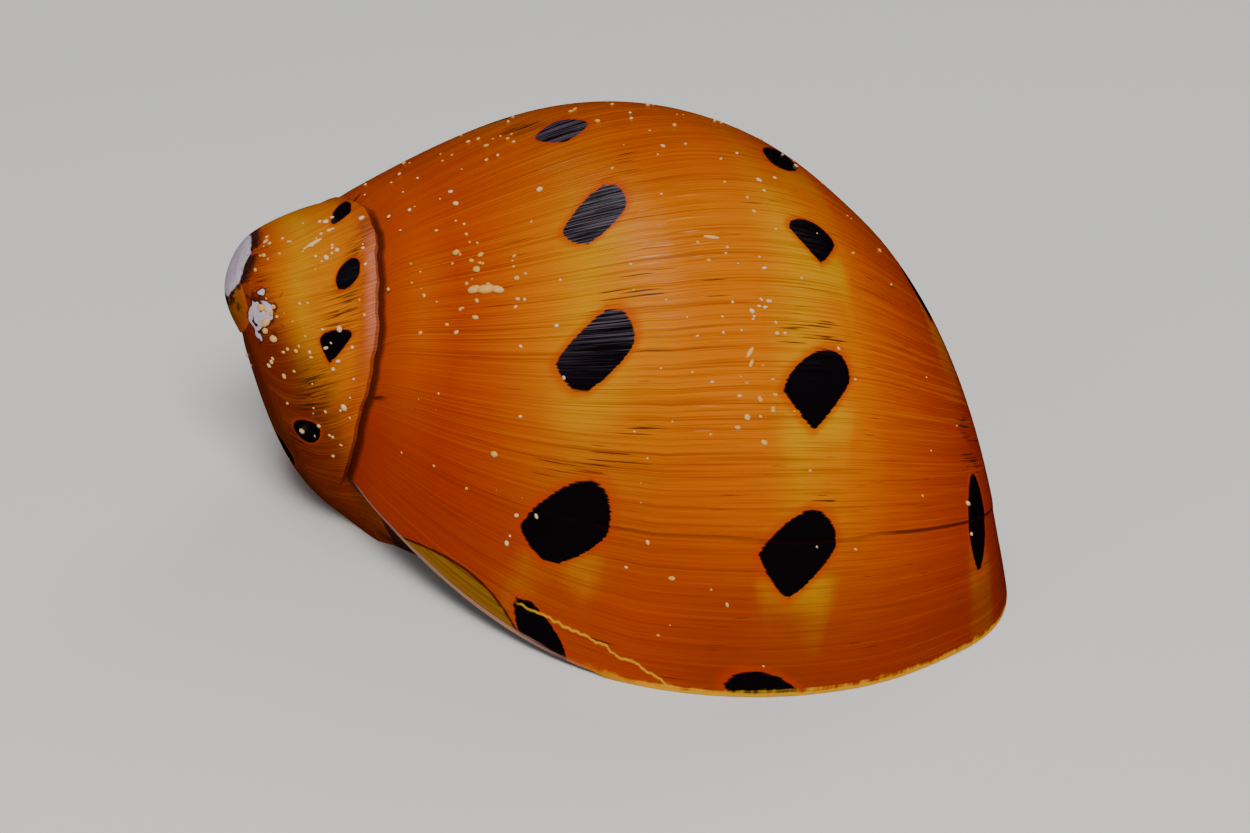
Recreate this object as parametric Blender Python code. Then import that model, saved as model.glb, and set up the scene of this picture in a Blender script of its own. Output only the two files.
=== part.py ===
"""Empty shell of a nerite snail: one hollow, right-handed coil standing on its lip and its deck.

Millimetres until the last step.  +Z is up, the mouth is on the plane z = 0, the tip of the
spire points to -X and the outer lip to -Y.
"""

import math

import bmesh
import bpy
import numpy as np
from mathutils import Matrix, Vector

# The coil turns about an axis that leaves the tip and dives towards the mouth.
TIP = np.array((-12.8, 0.1, 8.6))
AXIS_DIVE = math.radians(28.0)
AXIS_YAW = math.radians(7.6)

# Size of the whorl against the angle: it shrinks towards the tip, less and less quickly.
GROWTH = 0.237
SLOWING = 0.009
GROWTH_START = 0.7
EVEN_FROM = 7.0

# The oldest whorls are worn down: smaller beyond this angle, and flat at the tip.
WORN_SPAN = (6.4, 7.6)
WORN = 1.0
WORN_FLAT = 1.15

# Section of the last whorl: (distance from the axis, distance along it from the tip).
SUTURE = (5.7, 6.5)
SHOULDER = (14.9, 15.6)
PERIPHERY = (17.55, 23.4)
LOWER_SIDE = (16.7, 28.3)
BASE_TURN = (12.7, 32.8)
BASE_END = (0.0, 34.1)

# Shares of the section where the mesh has a row: on the covered part (of it), and below it.
COVERED_ROWS = (0.05, 0.18, 0.32, 0.46, 0.61, 0.75, 0.87, 0.95, 1.0)
OPEN = (0.32, 0.36, 0.41, 0.46, 0.51, 0.56, 0.61, 0.66, 0.71, 0.76, 0.81, 0.86, 0.91, 0.96, 1.0)

# The lip starts at this angle, and is held up above the mouth plane at its corner.
LIP_ANGLE = math.radians(-36.0)
LIP_SLANT = math.radians(29.0)
LIP_SLANT_END = 0.20

# The whorl's underside hangs down to the deck: at the back, at the base and inside the mouth.
BACK_DROP = 1.9
BASE_DROP = 4.0
INNER_DROP = 3.0
GROOVE = 0.22

TIP_CAP = 1.14
FOOT = np.array((1.0, -1.5, -7.0))
HOLLOW_TOP = 3.0
LIP_CLEAR = 0.17

AROUND = 64
AROUND_INSIDE = 44

WALL = 0.9
LIP_WALL = 0.45
LIP_TAPER = 0.45

# The deck half closes the mouth; its edge is nearly straight and finely toothed.
DECK = 1.0
DECK_EDGE_Y = -1.9
DECK_EDGE_SLOPE = 0.10
DECK_EDGE_HOLLOW = 0.5
DECK_SPAN = (-9.0, 10.5)
CORNER_FILL = 6.4
CORNER_SPAN = (-6.3, -2.4)
TEETH = 9
TOOTH = 0.22
TOOTH_PITCH = 0.95
TOOTH_MIDDLE = 1.0

# The object's own origin: the middle of its box, on the mouth plane.
ORIGIN = np.array((0.04, -1.34, 0.0))

SHELL_COLOUR = (0.56, 0.21, 0.03, 1.0)
MM = 0.001


def smooth(x, low, high):
    """0 below low, 1 above high, and an even curve between."""
    x = np.clip((x - low) / (high - low), 0.0, 1.0)
    return x * x * (3.0 - 2.0 * x)


def axes():
    """The coil axis, and the two directions across it: towards the lip side, and up."""
    along = np.array(
        (
            math.cos(AXIS_DIVE) * math.cos(AXIS_YAW),
            math.cos(AXIS_DIVE) * math.sin(AXIS_YAW),
            -math.sin(AXIS_DIVE),
        )
    )
    up = np.cross(along, (0.0, 1.0, 0.0))
    up /= np.linalg.norm(up)
    out = np.cross(along, up)
    return along, out, up


def natural_spline(points):
    """Second derivatives of the natural cubic through evenly spaced points."""
    n = len(points)
    matrix = np.eye(n)
    right = np.zeros((n, 2))
    for i in range(1, n - 1):
        matrix[i, i - 1 : i + 2] = (1.0, 4.0, 1.0)
        right[i] = 6.0 * (points[i - 1] - 2.0 * points[i] + points[i + 1])
    return np.linalg.solve(matrix, right)


SECTION = np.array((SUTURE, SHOULDER, PERIPHERY, LOWER_SIDE, BASE_TURN, BASE_END))
BENDS = natural_spline(SECTION)


def section(t):
    """Point of the section at share t: 0 at the suture, 1 at the base on the axis."""
    x = np.clip(np.asarray(t, float), 0.0, 1.0) * (len(SECTION) - 1)
    i = np.minimum(x.astype(int), len(SECTION) - 2)
    b = (x - i)[..., None]
    a = 1.0 - b
    bend = (a**3 - a) * BENDS[i] + (b**3 - b) * BENDS[i + 1]
    return a * SECTION[i] + b * SECTION[i + 1] + bend / 6.0


def join_share():
    """Where the next whorl is joined on: the section is back on the ray from tip to suture."""
    t = np.linspace(0.1, 0.6, 2001)
    rh = section(t)
    side = rh[:, 0] * SUTURE[1] - rh[:, 1] * SUTURE[0]
    return float(np.interp(0.0, -side, t))


JOIN = join_share()
COVERED = tuple(JOIN * row for row in COVERED_ROWS)


def log_size(angle):
    x = np.asarray(angle, float) + GROWTH_START
    bent = -GROWTH * x + SLOWING * x**2
    slope = -GROWTH + 2.0 * SLOWING * EVEN_FROM
    even = -GROWTH * EVEN_FROM + SLOWING * EVEN_FROM**2 + slope * (x - EVEN_FROM)
    return np.where(x < EVEN_FROM, bent, even) - WORN * smooth(x, *WORN_SPAN)


ALONG, OUT, UP = axes()
START = np.linalg.norm(section(0.0))
REACH = math.log(np.linalg.norm(section(JOIN)) / START)


def stretch(angle):
    """Extra length that makes a covered whorl end exactly where the next one is joined."""
    full = log_size(angle - 2.0 * math.pi) - log_size(angle) - REACH
    first = 2.0 * math.pi + LIP_ANGLE
    joined = log_size(LIP_ANGLE) - log_size(first) - REACH
    return np.where(angle < first, joined * smooth(angle, first - 2.0, first), full)


def surface(angle, t):
    """Point of the shell's outside at a coil angle and a share of the section."""
    angle, t = np.broadcast_arrays(np.asarray(angle, float), np.asarray(t, float))
    rh = section(t)
    reach = np.linalg.norm(rh, axis=-1)
    share = np.clip(np.log(reach / START) / REACH, 0.0, 1.0)
    longer = stretch(angle)
    x = angle + GROWTH_START
    worn = WORN * (smooth(x, *WORN_SPAN) - smooth(x - 2.0 * math.pi, *WORN_SPAN))
    swell = np.arctan2(rh[..., 0], rh[..., 1])
    ray = math.atan2(*SUTURE)
    swell = ray + (swell - ray) * np.where(t < JOIN, 1.0 + (longer - worn) / REACH, 1.0)
    size = np.exp(log_size(angle) + longer * share) * reach
    across = np.cos(angle)[..., None] * OUT + np.sin(angle)[..., None] * UP
    height = ((size * np.cos(swell)) ** 4 + WORN_FLAT**4) ** 0.25
    point = TIP + (size * np.sin(swell))[..., None] * across + height[..., None] * ALONG
    back = smooth(angle, 1.4, 2.6) * (1.0 - smooth(angle, 3.7, 4.7))
    base = smooth(angle, 1.1, 1.9) * (1.0 - smooth(angle, 2.6, 3.4))
    inner = smooth(angle, 4.9, 5.6) * (1.0 - smooth(angle, 6.2, 6.3))
    point[..., 2] -= BACK_DROP * back * smooth(t, 0.45, 0.85)
    point[..., 2] -= BASE_DROP * base * smooth(t, 0.66, 0.90)
    point[..., 2] -= INNER_DROP * inner * smooth(t, 0.30, 0.55)
    return point


def outward(angle, t):
    """Unit normal of the outside."""
    step = 0.004
    around = surface(angle + step, t) - surface(angle - step, t)
    down = surface(angle, np.minimum(t + step, 1.0)) - surface(angle, np.maximum(t - step, 0.0))
    normal = np.cross(down, around)
    length = np.linalg.norm(normal, axis=-1, keepdims=True)
    return normal / np.maximum(length, 1e-9)


def groove(angle, t):
    """Depth of the suture groove: on both sides of the line where two whorls meet."""
    covered = smooth(angle, 2.0 * math.pi + LIP_ANGLE - 0.15, 2.0 * math.pi + LIP_ANGLE)
    size = np.minimum(np.exp(log_size(angle + 2.0 * math.pi * (t < 0.5 * JOIN))) / 0.3, 1.0)
    near = np.exp(-((t / 0.02) ** 2)) + covered * np.exp(-(((JOIN - t) / 0.02) ** 2))
    whole = 1.0 - smooth(angle + 2.0 * math.pi * (t < 0.5 * JOIN), 10.0, 12.0)
    return GROOVE * size * near * whole


def columns(first, count, spire, depth, lip_depth):
    """Grid of points: a column for each step round the coil, a row for each place on it.

    spire lists (turns back, share) from the tip on; the rows of the last whorl follow.
    """
    turn = np.linspace(0.0, 2.0 * math.pi, count + 1)
    rows = []
    for back, t in spire:
        angle = first + turn + 2.0 * math.pi * back
        sink = depth if depth else groove(angle, t)[:, None]
        rows.append(surface(angle, t) - sink * outward(angle, t))
    for t in COVERED + OPEN:
        slant = LIP_SLANT * min(t / LIP_SLANT_END, 1.0) ** 0.6
        if depth:
            slant -= LIP_CLEAR * min(t / 0.05, 1.0)
        angle = first + turn + slant * (1.0 - smooth(turn, 0.0, 2.2))
        grown = smooth(turn, LIP_CLEAR, LIP_CLEAR + LIP_TAPER)
        sink = lip_depth + (depth - lip_depth) * grown if depth else groove(angle, t)
        rows.append(surface(angle, t) - sink[:, None] * outward(angle, t))
    grid = np.array(rows).transpose(1, 0, 2)
    for angle, column in zip(turn, grid):
        whorl = column[len(spire) :]
        level = 0.9 * DECK if depth and angle > 1.75 else 0.0
        reached = np.nonzero(whorl[:, 2] < level)[0]
        last = reached[0] if len(reached) else whorl[:, 2].argmin()
        if level == 0.0:
            last = min(last + 2, len(whorl) - 1)
            near = whorl[reached[0] + 1 : last + 1]
            near[:, 2] = np.minimum(near[:, 2], -0.25)
        share = np.linspace(0.0, 1.0, len(whorl) - last + 1)[1:-1, None]
        whorl[last + 1 :] = whorl[last] + share[: len(whorl) - last - 1] * (FOOT - whorl[last])
    return grid


def coil(name, grid, pole, corner):
    """Closed solid from a grid: a pole at the tip, and a seam face where the lip begins."""
    shift = len(COVERED)
    bm = bmesh.new()
    verts = [[bm.verts.new(point) for point in column] for column in grid]
    tip = bm.verts.new(pole)
    low = bm.verts.new(FOOT)
    for left, right in zip(verts, verts[1:]):
        bm.faces.new((tip, right[0], left[0]))
        bm.faces.new((left[-1], right[-1], low))
        for j in range(len(left) - 1):
            bm.faces.new((left[j], right[j], right[j + 1], left[j + 1]))
    lip, old = verts[0], verts[-1]
    for j in range(shift):
        bm.faces.new((tip, old[j + 1], old[j]))
    for j in range(corner, len(lip) - 1):
        if j < corner + shift:
            bm.faces.new((lip[j], lip[j + 1], old[corner + shift]))
        else:
            bm.faces.new((lip[j], lip[j + 1], old[j + 1], old[j]))
    bm.faces.new((lip[-1], low, old[-1]))
    bmesh.ops.remove_doubles(bm, verts=bm.verts, dist=0.002)
    bmesh.ops.recalc_face_normals(bm, faces=bm.faces)
    return finish(name, bm)


def finish(name, bm):
    mesh = bpy.data.meshes.new(name)
    bm.to_mesh(mesh)
    bm.free()
    made = bpy.data.objects.new(name, mesh)
    bpy.context.collection.objects.link(made)
    return made


def deck_edge(x):
    """The deck's free edge: slightly hollow, with fine teeth in the middle."""
    along = (x - DECK_SPAN[0]) / (DECK_SPAN[1] - DECK_SPAN[0])
    y = DECK_EDGE_Y + DECK_EDGE_SLOPE * x + DECK_EDGE_HOLLOW * math.sin(math.pi * along)
    y -= CORNER_FILL * (1.0 - smooth(x, *CORNER_SPAN))
    place = (x - TOOTH_MIDDLE) / TOOTH_PITCH
    if abs(place) < TEETH / 2.0:
        y -= TOOTH * 0.5 * (1.0 + math.cos(2.0 * math.pi * place))
    return y


def deck_block():
    """Everything that the deck keeps closed: from well under the mouth up to the deck's top."""
    steps = 88
    left, right = DECK_SPAN
    edge = [left + (right - left) * i / steps for i in range(steps + 1)]
    outline = [(x, deck_edge(x)) for x in edge]
    outline += [(right + 8.0, deck_edge(right)), (right + 8.0, 16.0)]
    outline += [(left - 8.0, 16.0), (left - 8.0, deck_edge(left))]
    bm = bmesh.new()
    face = bm.faces.new([bm.verts.new((x, y, -9.0)) for x, y in outline])
    made = bmesh.ops.extrude_face_region(bm, geom=[face])
    top = [item for item in made["geom"] if isinstance(item, bmesh.types.BMVert)]
    bmesh.ops.translate(bm, verts=top, vec=(0.0, 0.0, 9.0 + DECK))
    bmesh.ops.recalc_face_normals(bm, faces=bm.faces)
    return finish("deck block", bm)


def boolean(target, tool, operation):
    modifier = target.modifiers.new(tool.name, "BOOLEAN")
    modifier.operation = operation
    modifier.solver = "EXACT"
    modifier.object = tool
    tool.display_type = "WIRE"
    tool.hide_render = True


def main():
    for old in list(bpy.data.objects):
        bpy.data.objects.remove(old)

    spire = [(3, JOIN)] + [(2, t) for t in COVERED] + [(1, t) for t in COVERED]
    outside = columns(LIP_ANGLE, AROUND, spire, 0.0, 0.0)
    shell = coil("shell", outside, TIP + TIP_CAP * ALONG, len(spire) - 1)

    hollow_spire = [(1, t) for t in COVERED[3:]]
    inside = columns(LIP_ANGLE, AROUND_INSIDE, hollow_spire, WALL, LIP_WALL)
    hollow = coil("hollow", inside, TIP + HOLLOW_TOP * ALONG, len(hollow_spire) - 1)

    bm = bmesh.new()
    bm.from_mesh(shell.data)
    everything = bm.verts[:] + bm.edges[:] + bm.faces[:]
    cut = bmesh.ops.bisect_plane(
        bm, geom=everything, plane_co=(0, 0, 0), plane_no=(0, 0, 1), clear_inner=True
    )
    rim = [item for item in cut["geom_cut"] if isinstance(item, bmesh.types.BMEdge)]
    bmesh.ops.contextual_create(bm, geom=rim)
    bmesh.ops.recalc_face_normals(bm, faces=bm.faces)
    bm.to_mesh(shell.data)
    bm.free()

    boolean(hollow, deck_block(), "DIFFERENCE")
    boolean(shell, hollow, "DIFFERENCE")

    for item in bpy.data.objects:
        item.data.transform(Matrix.Translation(-Vector(ORIGIN)))
        item.data.transform(Matrix.Scale(MM, 4))

    material = bpy.data.materials.new("shell")
    material.use_nodes = True
    principled = material.node_tree.nodes["Principled BSDF"]
    principled.inputs["Base Color"].default_value = SHELL_COLOUR
    principled.inputs["Roughness"].default_value = 0.35
    shell.data.materials.append(material)


main()
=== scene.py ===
# %% [markdown]
# # Nerite snail shell
#
# A nerite's shell is one piece that grows along its lip. It coils about an axis that starts at
# the tip of the spire, and each turn is larger than the one before. The newest turn, the body
# whorl, is nearly the whole shell. Its mouth is half closed by a flat deck with fine teeth.
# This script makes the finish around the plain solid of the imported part: first the coil with
# its seam and growth marks, then the hollow, and last the colours, the camera and the light.

import math

import bmesh
import bpy
import numpy as np
from mathutils import Matrix, Vector


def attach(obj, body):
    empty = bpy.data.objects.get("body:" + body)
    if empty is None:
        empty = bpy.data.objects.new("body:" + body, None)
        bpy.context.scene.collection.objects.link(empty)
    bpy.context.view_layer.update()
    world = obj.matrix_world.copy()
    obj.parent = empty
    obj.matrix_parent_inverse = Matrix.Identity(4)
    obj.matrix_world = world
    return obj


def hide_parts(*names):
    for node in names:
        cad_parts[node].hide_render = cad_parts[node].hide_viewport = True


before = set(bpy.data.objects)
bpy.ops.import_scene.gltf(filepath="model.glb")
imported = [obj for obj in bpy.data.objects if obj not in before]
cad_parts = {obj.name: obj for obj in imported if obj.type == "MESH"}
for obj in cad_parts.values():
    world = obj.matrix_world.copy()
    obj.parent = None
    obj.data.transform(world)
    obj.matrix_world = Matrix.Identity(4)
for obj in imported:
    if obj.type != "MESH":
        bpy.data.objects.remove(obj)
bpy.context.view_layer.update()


# %% [markdown]
# ## The plan of the coil
#
# Two things describe a coiled shell: the outline of its mouth, and how fast that outline
# shrinks as it is turned back about the axis. Here the outline is a natural cubic through six
# points, each given by its distance from the axis and its distance along it. All lengths are
# millimetres until the meshes are finished, and all angles are radians.

# %% Dimensions of the coil
MM = 0.001
TURN = 2.0 * math.pi
# the part's origin, seen from where the coil is drawn
ORIGIN = np.array((0.04, -1.34, 0.0))

# the axis leaves the tip and dives towards the mouth
TIP = np.array((-12.8, 0.1, 8.6))
AXIS_DIVE = math.radians(28.0)
AXIS_YAW = math.radians(7.6)

# the whorl shrinks with the angle towards the tip, less and less quickly
GROWTH = 0.237
SLOWING = 0.009
GROWTH_START = 0.7
EVEN_FROM = 7.0

# the oldest whorls are worn down: smaller beyond this angle, and flat at the tip
WORN_SPAN = (6.4, 7.6)
WORN = 1.0
WORN_FLAT = 1.15

# outline of the newest whorl: distance from the axis, and distance along it from the tip
SECTION = np.array(
    (
        (5.7, 6.5),
        (14.9, 15.6),
        (17.55, 23.4),
        (16.7, 28.3),
        (12.7, 32.8),
        (0.0, 34.1),
    )
)

# the lip starts at this angle, and its corner beside the seam is held back from the mouth
LIP_ANGLE = math.radians(-36.0)
LIP_SLANT = math.radians(29.0)
LIP_SLANT_END = 0.20
LIP_SLANT_ROUND = 0.6
print("the section is", SECTION[:, 1].max(), "mm long and", SECTION[:, 0].max(), "mm wide")


# %% Axes and outline of the whorl
def smooth(x, low, high):
    """0 below low, 1 above high, and an even curve between."""
    x = np.clip((x - low) / (high - low), 0.0, 1.0)
    return x * x * (3.0 - 2.0 * x)


def coil_axes():
    """The coil axis, and the two directions across it: towards the lip side, and up."""
    level = math.cos(AXIS_DIVE)
    along = np.array((level * math.cos(AXIS_YAW), level * math.sin(AXIS_YAW), -math.sin(AXIS_DIVE)))
    up = np.cross(along, (0.0, 1.0, 0.0))
    up /= np.linalg.norm(up)
    return along, np.cross(along, up), up


def natural_spline(points):
    """Second derivatives of the natural cubic through evenly spaced points."""
    n = len(points)
    matrix = np.eye(n)
    right = np.zeros((n, 2))
    for i in range(1, n - 1):
        matrix[i, i - 1 : i + 2] = (1.0, 4.0, 1.0)
        right[i] = 6.0 * (points[i - 1] - 2.0 * points[i] + points[i + 1])
    return np.linalg.solve(matrix, right)


def section(t):
    """Point of the outline at share t: 0 at the seam, 1 at the base on the axis."""
    x = np.clip(np.asarray(t, float), 0.0, 1.0) * (len(SECTION) - 1)
    i = np.minimum(x.astype(int), len(SECTION) - 2)
    b = (x - i)[..., None]
    a = 1.0 - b
    bend = (a**3 - a) * BENDS[i] + (b**3 - b) * BENDS[i + 1]
    return a * SECTION[i] + b * SECTION[i + 1] + bend / 6.0


ALONG, OUT, UP = coil_axes()
BENDS = natural_spline(SECTION)
print("the coil axis points", [round(float(value), 3) for value in ALONG])


# %% Size of the whorl, and where the next one joins
def join_share():
    """Where the next whorl is joined on: the outline is back on the ray from tip to seam."""
    t = np.linspace(0.1, 0.6, 2001)
    rh = section(t)
    side = rh[:, 0] * SECTION[0][1] - rh[:, 1] * SECTION[0][0]
    return float(np.interp(0.0, -side, t))


def log_size(angle):
    """Logarithm of the whorl's size, counted back from the lip."""
    x = np.asarray(angle, float) + GROWTH_START
    bent = -GROWTH * x + SLOWING * x**2
    slope = -GROWTH + 2.0 * SLOWING * EVEN_FROM
    even = -GROWTH * EVEN_FROM + SLOWING * EVEN_FROM**2 + slope * (x - EVEN_FROM)
    return np.where(x < EVEN_FROM, bent, even) - WORN * smooth(x, *WORN_SPAN)


JOIN = join_share()
START = np.linalg.norm(SECTION[0])
REACH = math.log(np.linalg.norm(section(JOIN)) / START)
# the coil angle from which a whorl is covered by the next one
COVERED_FROM = TURN + LIP_ANGLE
print("the next whorl is joined on at share", round(JOIN, 3))
print("size one turn back:", round(float(np.exp(log_size(TURN))), 3))

# %% [markdown]
# ## The surface of the whorls
#
# Every place on the outside has two numbers: its angle round the coil, counted back from the
# front, and its share of the outline. A whorl's visible band has to end exactly where the
# next one is joined on, so the bands of the spire are stretched a little. The underside hangs
# down to the deck, which a plain coil would miss.

# %% A point of the outside
SAGS = (
    # depth, angles over which it starts and ends, shares over which it starts
    (1.9, (1.4, 2.6), (3.7, 4.7), (0.45, 0.85)),
    (4.0, (1.1, 1.9), (2.6, 3.4), (0.66, 0.90)),
    (3.0, (4.9, 5.6), (6.2, 6.3), (0.30, 0.55)),
)
STRETCH_START = 2.0
SMALL_STEP = 0.004


def stretch(angle):
    """Extra length that makes a covered whorl end exactly where the next one is joined."""
    full = log_size(angle - TURN) - log_size(angle) - REACH
    joined = log_size(LIP_ANGLE) - log_size(COVERED_FROM) - REACH
    partly = joined * smooth(angle, COVERED_FROM - STRETCH_START, COVERED_FROM)
    return np.where(angle < COVERED_FROM, partly, full)


def surface(angle, t):
    """Point of the shell's outside at a coil angle and a share of the outline."""
    angle, t = np.broadcast_arrays(np.asarray(angle, float), np.asarray(t, float))
    rh = section(t)
    reach = np.linalg.norm(rh, axis=-1)
    share = np.clip(np.log(reach / START) / REACH, 0.0, 1.0)
    longer = stretch(angle)
    x = angle + GROWTH_START
    worn = WORN * (smooth(x, *WORN_SPAN) - smooth(x - TURN, *WORN_SPAN))
    ray = math.atan2(*SECTION[0])
    swell = np.arctan2(rh[..., 0], rh[..., 1])
    swell = ray + (swell - ray) * np.where(t < JOIN, 1.0 + (longer - worn) / REACH, 1.0)
    size = np.exp(log_size(angle) + longer * share) * reach
    across = np.cos(angle)[..., None] * OUT + np.sin(angle)[..., None] * UP
    height = ((size * np.cos(swell)) ** 4 + WORN_FLAT**4) ** 0.25
    point = TIP + (size * np.sin(swell))[..., None] * across + height[..., None] * ALONG
    for depth, start, end, down in SAGS:
        hanging = smooth(angle, *start) * (1.0 - smooth(angle, *end))
        point[..., 2] -= depth * hanging * smooth(t, *down)
    return point


def outward(angle, t):
    """Unit normal of the outside."""
    around = surface(angle + SMALL_STEP, t) - surface(angle - SMALL_STEP, t)
    below = surface(angle, np.minimum(t + SMALL_STEP, 1.0))
    down = below - surface(angle, np.maximum(t - SMALL_STEP, 0.0))
    normal = np.cross(down, around)
    length = np.linalg.norm(normal, axis=-1, keepdims=True)
    return normal / np.maximum(length, 1e-9)


print("top of the whorl, mm:", round(float(surface(np.linspace(0.0, 3.0, 99), 0.3)[:, 2].max()), 2))

# %% [markdown]
# ## Rows and columns
#
# One line of vertices runs from the tip over every band of the spire and down the newest
# whorl. Turned once round the axis, that line sweeps the whole outside of the shell. Each
# vertex keeps its row and its column, so that later steps can find its place in the growth.

# %% The rows of the line
SPIRE_TURNS = 3
COVERED_ROWS = 34
OPEN_ROWS = 100
CLOSER_AT_SEAMS = 0.6


def spread(low, high, count, ends):
    """Shares from low to high, closer together near both by the part given."""
    x = np.linspace(0.0, 1.0, count + 1)[1:]
    bent = 0.5 * (1.0 - np.cos(math.pi * x))
    return low + (high - low) * (ends * bent + (1.0 - ends) * x)


class Rows:
    """The rows of one line: how many turns back each is, and its share of the outline.

    shift is the number of rows in one covered band, and corner is the row on the seam where
    the newest whorl starts.
    """

    def __init__(self, spire_turns, covered, opened, skip=0):
        back = [spire_turns]
        share = [JOIN]
        for turns in range(spire_turns - 1, -1, -1):
            back += [turns] * len(covered)
            share += list(covered)
        self.back = np.array(back + [0] * len(opened), float)[skip:]
        self.share = np.array(share + list(opened))[skip:]
        self.shift = len(covered)
        self.corner = (spire_turns - 1) * len(covered) - skip


covered = spread(0.0, JOIN, COVERED_ROWS, CLOSER_AT_SEAMS)
outside_rows = Rows(SPIRE_TURNS, covered, spread(JOIN, 1.0, OPEN_ROWS, 0.0))
print(len(outside_rows.share), "rows on the outside")

# %% [markdown]
# ## Growing the coil
#
# The snail adds a narrow strip along its lip again and again, and each strip is a turned and
# slightly larger copy of the one before. The mesh is made backwards. A spin turns the line
# once about the axis and leaves a strip of faces at every step. Then each vertex slides
# towards the tip until its whorl has the size that it had at that angle. A spin about a
# slanting axis is quicker and more even than hundreds of extrusions made one by one.


# %% Spin the line, then let it shrink
OUTSIDE_STEPS = 320


def grow(rows, steps, settle):
    """Sweeps the line of rows once round the axis, then moves the vertices where settle says."""
    bm = bmesh.new()
    row_of = bm.verts.layers.int.new("row")
    line = []
    for row, (back, t) in enumerate(zip(rows.back, rows.share)):
        vert = bm.verts.new(surface(LIP_ANGLE + TURN * back, t))
        vert[row_of] = row
        line.append(vert)
    edges = [bm.edges.new(pair) for pair in zip(line, line[1:])]
    bmesh.ops.spin(bm, geom=line + edges, cent=TIP, axis=ALONG, angle=TURN, steps=steps)
    bm.verts.index_update()
    place = settle(rows, steps)
    for index, vert in enumerate(bm.verts):
        vert.co = place[index // len(line), vert[row_of]]
    return bm


print("each step of the spin turns by", 360.0 / OUTSIDE_STEPS, "degrees")

# %% [markdown]
# ## The seam
#
# Where two whorls meet there is a small step. The edge of the older whorl stands up a little,
# and the newer whorl starts low beside it and rises. The line of the step isn't even: the
# snail laid it down in fits and starts. Both are moves of the vertices, because an extrusion
# can't make a step that runs out along its length.

# %% Step and waves of the seam
SEAM_DROP = 0.13
SEAM_RISE = 0.07
SEAM_WIDTH = 0.013
SEAM_ROLL = 0.035
SEAM_LIP = 0.006
SEAM_START = 0.15
SEAM_FULL_SIZE = 0.4
SEAM_ENDS = (10.0, 12.0)
BEHIND_LIP = 1.5
WOBBLE = 0.055
WOBBLE_WIDTH = 0.035
WOBBLE_START = 0.4
WOBBLE_ENDS = (9.0, 10.5)
# waves in a radian, where they start, and their size
WAVES = ((6.0, 0.0, 1.0), (17.0, 1.0, 0.5), (41.0, 2.0, 0.25))


def seam_drop(angle, t):
    """Depth of the step at the seam: the older whorl's edge stands up, the newer one is low."""
    older = smooth(angle, COVERED_FROM - SEAM_START, COVERED_FROM)
    newer_angle = angle - TURN * (t > 0.5 * JOIN)
    size = np.minimum(np.exp(log_size(newer_angle)) / SEAM_FULL_SIZE, 1.0)
    size = size * (1.0 - smooth(angle + TURN * (t < 0.5 * JOIN), *SEAM_ENDS))
    low = np.exp(-((t / SEAM_WIDTH) ** 2))
    rise = older * smooth(t, JOIN - SEAM_ROLL, JOIN - SEAM_LIP)
    edge = (t > JOIN - 1e-6) & (angle > BEHIND_LIP)
    return size * np.where(edge, SEAM_DROP * older, SEAM_DROP * low - SEAM_RISE * rise)


def edge_wobble(angle, t):
    """How far the seam strays from its even path: towards the tip, or away from it."""
    older = angle + TURN * (t < 0.5 * JOIN)
    waves = sum(size * np.sin(rate * older + start) for rate, start, size in WAVES)
    from_seam = np.minimum(t, JOIN - np.minimum(t, JOIN))
    near = np.exp(-((from_seam / WOBBLE_WIDTH) ** 2))
    lasts = smooth(older, COVERED_FROM, COVERED_FROM + WOBBLE_START)
    return WOBBLE * waves * near * lasts * (1.0 - smooth(older, *WOBBLE_ENDS))


print("the seam steps by", SEAM_DROP, "mm")

# %% [markdown]
# ## The lip and the age of the skin
#
# The lip ends on the mouth plane, and only its corner beside the seam is raised. Every line
# of growth was once the lip, so the time at which a place was laid down is its angle round the
# coil, counted from the lip's own angle there. The base grows more slowly than the shoulder,
# so time runs faster across it. The colours need this number, and so does the step that a
# halt in growth left round the whorl.

# %% Angle of the lip and time since it was there
LIP_CURL = 2.2
TIME_SKEW = 0.448
LAST_LIP_SHARE = 0.93
LIP_SAMPLES = 400


def lip_slant(t):
    """How far round the lip lags at each share: the corner at the seam is held back."""
    return LIP_SLANT * np.minimum(t / LIP_SLANT_END, 1.0) ** LIP_SLANT_ROUND


def coil_angles(rows, steps, lag):
    """Coil angle of each column and row; the newest columns follow the lag of the lip."""
    turned = np.linspace(0.0, TURN, steps + 1)[:, None]
    newest = (rows.back == 0.0) * lag
    return LIP_ANGLE + TURN * rows.back + turned + newest * (1.0 - smooth(turned, 0.0, LIP_CURL))


def lip_angle_of(t):
    """Coil angle of the lip at each share: on the mouth plane, or on the raised corner."""
    angle = np.linspace(LIP_ANGLE, 2.0, LIP_SAMPLES)
    height = surface(angle[:, None], t[None, :])[..., 2]
    above = np.maximum(np.argmax(height > 0.0, axis=0), 1)
    column = np.arange(len(t))
    low = height[above - 1, column]
    high = height[above, column]
    part = np.clip(-low / (high - low), 0.0, 1.0)
    first = angle[above - 1] + part * (angle[above] - angle[above - 1])
    return np.maximum(first, LIP_ANGLE + lip_slant(t))


LIP_SHARES = np.linspace(0.0, LAST_LIP_SHARE, 94)
LIP_ANGLES = lip_angle_of(LIP_SHARES)


def growth_time(angle, t):
    """How long ago each place was the lip, in radians of coiling along the seam."""
    lip = np.interp(t, LIP_SHARES, LIP_ANGLES)
    return (angle - lip) / (1.0 - TIME_SKEW * np.minimum(t, LAST_LIP_SHARE))


print("the lip turns by", round(math.degrees(np.ptp(LIP_ANGLES))), "degrees across the whorl")

# %% Settle the outside
HALT_TIME = 0.382
HALT_STEP = 0.04
HALT_RISE = (-0.025, 0.01)
LIP_FADE = 0.3
FOOT = np.array((1.0, -1.5, -7.0))
UNDER_RIM = -0.25


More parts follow.
